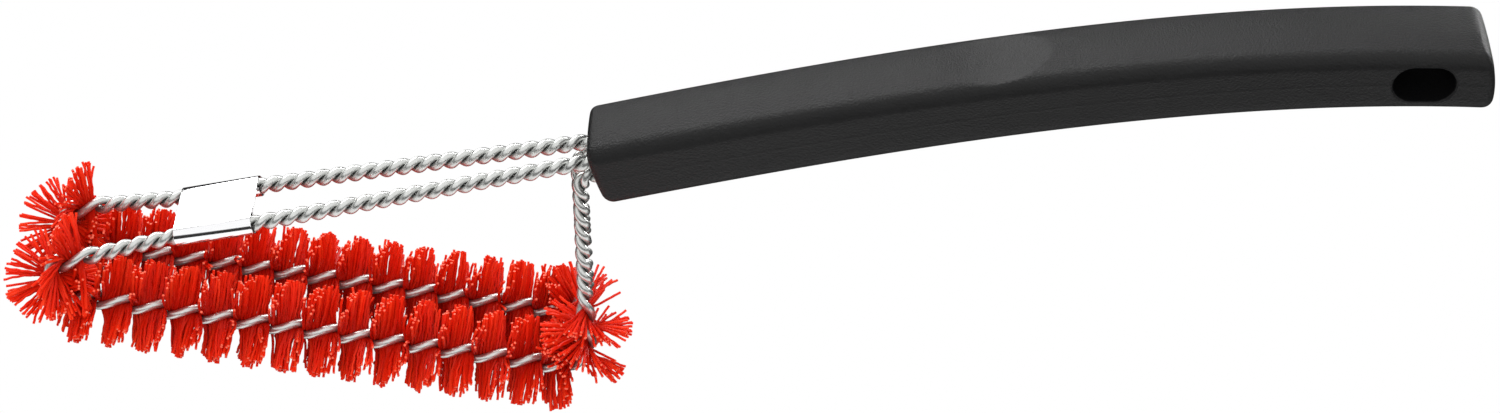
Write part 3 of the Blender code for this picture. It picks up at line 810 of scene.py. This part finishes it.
def handle_frame(length):
    """Points on the handle's top at these lengths, with their along and up directions."""
    lengths, x, z, slopes = CURVE
    length = np.asarray(length)
    zero = np.zeros(length.shape)
    along = unit(np.stack([zero + 1.0, zero, np.interp(length, lengths, slopes)], axis=-1))
    point = np.stack([np.interp(length, lengths, x), zero, np.interp(length, lengths, z)], axis=-1)
    point = point + along * np.maximum(length - lengths[-1], 0.0)[..., None]
    up = np.stack([-along[..., 2], zero, along[..., 0]], axis=-1)
    return point, along, up


def handle_size(length):
    """Width and height of the handle, which change evenly from the front to the tail."""
    share = length / HANDLE_LENGTH
    width = HANDLE_FRONT_SIZE[0] + (HANDLE_TAIL_SIZE[0] - HANDLE_FRONT_SIZE[0]) * share
    height = HANDLE_FRONT_SIZE[1] + (HANDLE_TAIL_SIZE[1] - HANDLE_FRONT_SIZE[1]) * share
    return width, height


def thumb_depth(place, y):
    """Depth of the thumb rest at a length along the top and a distance across it.

    Its edge is crisp towards the tail and the front side, and fades out elsewhere.
    """
    along = (place - THUMB_AT) / THUMB_REST[0]
    across = y / THUMB_REST[1]
    middle, gain_along, gain_across = THUMB_CRISP
    crisp = smooth_step(middle + gain_along * along + gain_across * across)
    power = THUMB_EDGE[0] - THUMB_EDGE[1] * crisp
    return THUMB_REST[2] * np.clip(1 - along**2 - across**2, 0.0, None) ** power


def front_rake(depth):
    """How far the front face lies back, at these shares of the height below the top: a quarter ellipse."""
    down = np.clip((depth - FRONT_RAKE_FROM) / (1 - FRONT_RAKE_FROM), 0.0, 1.0)
    return FRONT_RAKE * (1 - np.sqrt(1 - down**2))


def handle_ring(length, inset, shrink=1.0):
    """One ring of the handle, with its crown and thumb rest; near the ends it follows the end faces."""
    width, height = handle_size(length)
    side = height - 2 * LONG_EDGE
    shares = [piece / SIDE_PIECES for piece in range(1, SIDE_PIECES)]
    ridge = [0.5 - PARTING_HALF_WIDTH / side, 0.5 + PARTING_HALF_WIDTH / side]
    outline = rounded_outline(
        width / 2 - inset,
        height / 2 - inset,
        LONG_EDGE - inset,
        LONG_EDGE_STEPS,
        sorted(shares + ridge),
        [piece / TOP_PIECES for piece in range(1, TOP_PIECES)],
    )
    y, z = np.array(outline).T * shrink
    raised = PARTING_RIDGE * np.clip(1 - np.abs(z) / PARTING_HALF_WIDTH, 0.0, 1.0)
    y = y + np.where(np.abs(y) > width / 2 - 0.5 * LONG_EDGE, np.sign(y) * raised, 0.0)
    depth = 0.5 - z / height
    place = length + front_rake(depth) * (1 - smooth_step(length / RAKE_BLEND))
    at_tail = smooth_step(1 - (HANDLE_LENGTH - length) / RAKE_BLEND)
    place += TAIL_BULGE * np.sin(TAIL_BULGE_TURN * depth) * at_tail
    upper = np.clip((z - height / 2) / LONG_EDGE + 1, 0.0, 1.0)
    crown = HANDLE_CROWN * (np.abs(2 * y / width) ** CROWN_POWER - CROWN_RAISED)
    z = z - upper * (crown + thumb_depth(place, y))
    point, _, up = handle_frame(place)
    return point + up * (z - height / 2)[:, None] + SIDEWAYS * y[:, None]


def make_handle(material):
    """The grip with its rounded ends, cut out for the hanging slot and the two rod sockets."""
    angles = [math.pi / 2 * step / END_EDGE_STEPS for step in range(END_EDGE_STEPS + 1)]
    edge = [(HANDLE_END_EDGE * (1 - math.cos(a)), HANDLE_END_EDGE * (1 - math.sin(a))) for a in angles]
    rings = [handle_ring(0.0, HANDLE_END_EDGE, shrink) for shrink in FRONT_FACE_SHRINKS]
    rings += [handle_ring(back, inset) for back, inset in edge]
    start, stop = HANDLE_END_EDGE + HANDLE_STEP, HANDLE_LENGTH - HANDLE_END_EDGE - HANDLE_STEP / 2
    rings += [handle_ring(float(place), 0.0) for place in np.arange(start, stop, HANDLE_STEP)]
    rings += [handle_ring(HANDLE_LENGTH - back, inset) for back, inset in edge[::-1]]
    quads, caps = ring_quads(len(rings), len(rings[0])), end_caps(len(rings), len(rings[0]))
    obj = mesh_object("grip", to_world(rings), quads, caps, [material], sharp=GRIP_SHARP)
    for cutter in (slot_cutter(), socket_cutter("front", -1.0), socket_cutter("rear", 1.0)):
        apply_cut(obj, cutter)
    obj.data.shade_smooth()
    obj.data.set_sharp_from_angle(angle=math.radians(GRIP_SHARP))
    mark_recesses(obj)
    return obj


def mark_recesses(obj):
    """Marks the thumb rest, for the plastic's paler colour there, and the inside of the slot, where the
    plastic's shine is taken out as painted shade.
    """
    places = np.empty(len(obj.data.vertices) * 3)
    obj.data.vertices.foreach_get("co", places)
    places = places.reshape(-1, 3)
    point, along, up = handle_frame(THUMB_AT)
    off = places - to_world(point)
    ahead, across, above = off @ along / THUMB_REST[0], off[:, 1] / THUMB_REST[1], off @ up
    inside = smooth_step((1 - ahead**2 - across**2) / REST_FADE)
    # paler colour in the thumb rest, fading out towards its front end
    rest = inside * smooth_step(REST_PALENESS[0] + REST_PALENESS[1] * ahead)
    add_attribute(obj, "rest", rest * (above > -REST_REACH_DOWN))
    point, along, up = handle_frame(SLOT_AT)
    off = places - to_world(point - up * SLOT_DEPTH_CENTRE)
    straight = (SLOT_SIZE[0] - SLOT_SIZE[1]) / 2
    from_middle = np.hypot(np.clip(np.abs(off @ along) - straight, 0.0, None), off @ up)
    # the inside of the slot, where the plastic's shine is taken out as painted shade
    add_attribute(obj, "slot_shade_mask", from_middle < SLOT_SIZE[1] / 2 + SLOT_RIM / 3)


def apply_cut(obj, cutter):
    modifier = obj.modifiers.new("cut", "BOOLEAN")
    modifier.operation = "DIFFERENCE"
    modifier.solver = "EXACT"
    modifier.object = cutter
    depsgraph = bpy.context.evaluated_depsgraph_get()
    mesh = bpy.data.meshes.new_from_object(obj.evaluated_get(depsgraph))
    obj.modifiers.clear()
    obj.data = mesh
    bpy.data.objects.remove(cutter, do_unlink=True)


def slot_cutter():
    """The oblong slot, opened out a little at both faces to round its rims."""
    point, along, up = handle_frame(SLOT_AT)
    centre = point - up * SLOT_DEPTH_CENTRE
    width = handle_size(SLOT_AT)[0]
    past, flare = SLOT_CUTTER_REACH
    offsets = [(-width / 2 - past, SLOT_RIM + flare)]
    for step in range(SLOT_RIM_STEPS + 1):
        angle = math.pi / 2 * step / SLOT_RIM_STEPS
        grow = SLOT_RIM * (1 - math.cos(math.pi / 2 - angle))
        offsets.append((-width / 2 + SLOT_RIM * math.sin(angle), grow))
    offsets += [(-y, grow) for y, grow in offsets[::-1]]
    rings = []
    for y, grow in offsets:
        half = (SLOT_SIZE[0] / 2 + grow, SLOT_SIZE[1] / 2 + grow)
        outline = rounded_outline(half[0], half[1], half[1] * NEARLY_ROUND, SLOT_CORNER_STEPS)
        rings.append([centre + SIDEWAYS * y + along * a + up * b for a, b in outline])
    return cutter_object("slot", rings)


def rod_bundle_middle(depth):
    """Middle between a stem and the end of its leg, at a depth inside the handle."""
    direction, start = stem_direction(), HANDLE_FRONT[0] + STEM_ENTRY
    x = start + depth * direction[0]
    down = np.array([direction[1], -direction[0]]) * ROD_PAIR_DROP / 2
    return np.array([x + down[0], 0.0, stem_height(x) + down[1]])


def socket_cutter(name, sign):
    """The oblong socket that holds one rod's two ends."""
    direction = stem_direction()
    up = np.array([-direction[1], 0.0, direction[0]])
    side = SIDEWAYS * sign * HANDLE_SPREAD
    half_height, corner = ROD_PAIR_DROP / 2 + SOCKET_RADIUS, SOCKET_RADIUS * NEARLY_ROUND
    outline = rounded_outline(SOCKET_RADIUS, half_height, corner, SOCKET_CORNER_STEPS)
    rings = []
    for depth in (SOCKET_START, SOCKET_END):
        middle = rod_bundle_middle(depth) + side
        rings.append([middle + SIDEWAYS * x + up * y for x, y in outline])
    return cutter_object(name, rings)


def cutter_object(name, rings):
    quads, caps = ring_quads(len(rings), len(rings[0])), end_caps(len(rings), len(rings[0]))
    obj = mesh_object(name + "_cutter", to_world(rings), quads, caps)
    recalculate(obj)
    return obj


def recalculate(obj):
    """Turns all faces outwards."""
    bm = bmesh.new()
    bm.from_mesh(obj.data)
    bmesh.ops.recalc_face_normals(bm, faces=bm.faces)
    bm.to_mesh(obj.data)
    bm.free()


# ---- camera, floor and light ----


def make_camera():
    """The photo's view: from the front, above and a little from the left, with the camera rolled."""
    ahead = math.cos(CAMERA_ELEVATION)
    look = Vector(
        (math.sin(CAMERA_AZIMUTH) * ahead, math.cos(CAMERA_AZIMUTH) * ahead, -math.sin(CAMERA_ELEVATION))
    )
    level = look.cross(Vector((0, 0, 1))).normalized()
    above = level.cross(look)
    right = level * math.cos(CAMERA_ROLL) + above * math.sin(CAMERA_ROLL)
    up = above * math.cos(CAMERA_ROLL) - level * math.sin(CAMERA_ROLL)
    data = bpy.data.cameras.new("camera")
    data.lens = CAMERA_LENS
    data.sensor_width = 36.0
    data.clip_start, data.clip_end = 0.01, 50
    camera = bpy.data.objects.new("camera", data)
    place = Matrix.Translation(Vector(CAMERA_TARGET) - look * CAMERA_DISTANCE)
    camera.matrix_world = place @ Matrix((right, up, -look)).transposed().to_4x4()
    bpy.context.scene.collection.objects.link(camera)
    bpy.context.scene.camera = camera


def stage_sheet(name, corners, level, emission):
    """A flat sheet of the studio, which isn't part of the brush."""
    mesh = bpy.data.meshes.new(name)
    mesh.from_pydata(corners, [], [(0, 1, 2, 3)])
    sheet = bpy.data.objects.new(name, mesh)
    bpy.context.scene.collection.objects.link(sheet)
    material, tree, shader = new_material(name)
    shader.inputs["Base Color"].default_value = (level, level, level, 1.0)
    shader.inputs["Roughness"].default_value = 0.9
    shader.inputs["Specular IOR Level"].default_value = 0.0
    shader.inputs["Emission Color"].default_value = (1.0, 1.0, 1.0, 1.0)
    shader.inputs["Emission Strength"].default_value = emission
    mesh.materials.append(material)
    return sheet


def make_floor():
    """White paper for the camera, a grey sheet that bounces the light, and the paper that metal mirrors."""
    size = FLOOR_SIZE
    for name, height, (near, far), level, glow, seen_by in (
        ("floor", -0.2 * MM, (-size, size), 0.0, 1.0, "camera"),
        ("floor_bounce", -0.4 * MM, (-size, size), FLOOR_GREY, 0.0, "diffuse"),
        ("floor_mirrored", -0.3 * MM, PAPER_EDGE_Y, 0.0, PAPER_GLOW, "glossy"),
    ):
        corners = [(x, y, height) for x, y in ((-size, near), (size, near), (size, far), (-size, far))]
        sheet = stage_sheet(name, corners, level, glow)
        sheet.visible_camera = seen_by == "camera"
        sheet.visible_diffuse = seen_by == "diffuse"
        sheet.visible_glossy = seen_by == "glossy"
        sheet.visible_shadow = False


def area_light(name, location, target, size, power):
    data = bpy.data.lights.new(name, "AREA")
    data.shape = "RECTANGLE"
    data.size, data.size_y = size
    data.energy = power
    light = bpy.data.objects.new(name, data)
    light.location = location
    light.rotation_euler = (Vector(target) - Vector(location)).to_track_quat("-Z", "Y").to_euler()
    bpy.context.scene.collection.objects.link(light)
    return light


def make_world():
    """A tent: white above, dark from the horizon down, dimmer at the back. The camera sees white."""
    world = bpy.data.worlds.new("studio")
    bpy.context.scene.world = world
    world.use_nodes = True
    tree = world.node_tree
    background = tree.nodes["Background"]
    direction = add_node(tree, "ShaderNodeSeparateXYZ")
    coordinates = add_node(tree, "ShaderNodeTexCoord")
    tree.links.new(coordinates.outputs["Generated"], direction.inputs["Vector"])
    tent = ramp(tree, direction.outputs["Z"], [(place, grey(level)) for place, level in TENT])
    back = ramp(tree, direction.outputs["Y"], [(place, grey(level)) for place, level in BACK])
    tent = mix_colours(tree, 1.0, tent, back, "MULTIPLY")
    seen = add_node(tree, "ShaderNodeLightPath").outputs["Is Camera Ray"]
    tree.links.new(mix_colours(tree, seen, tent, (1.0, 1.0, 1.0, 1.0)), background.inputs["Color"])


def make_lights():
    for name, location, target, size, power, mirrored in LIGHTS:
        area_light(name, location, target, size, power).visible_glossy = mirrored


# ---- assembly ----


def main():
    make_camera()
    make_floor()
    make_world()
    make_lights()
    bpy.context.scene.view_settings.view_transform = "Standard"

    plastic, zinc, steel = plastic_material(), wire_material(), sleeve_material()
    nylon = [bristle_material(), tip_material()]

    rods = [Rod("front"), Rod("rear")]
    for rod in rods:
        for letter, phase in (("a", 0.0), ("b", math.pi)):
            wire = make_wire(f"{rod.side}_strand_{letter}", rod, phase, zinc)
            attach(wire, "root")
            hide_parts(f"{rod.side}_wire_{letter}")
        make_tufts(rod, rods, nylon)

    sleeve = make_sleeve(steel)
    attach(sleeve, "root")
    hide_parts("crimped_sleeve")

    grip = make_handle(plastic)
    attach(grip, "root")
    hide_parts("handle")

    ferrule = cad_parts["rod_ferrule"]
    ferrule.data.materials.clear()
    ferrule.data.materials.append(zinc)


main()
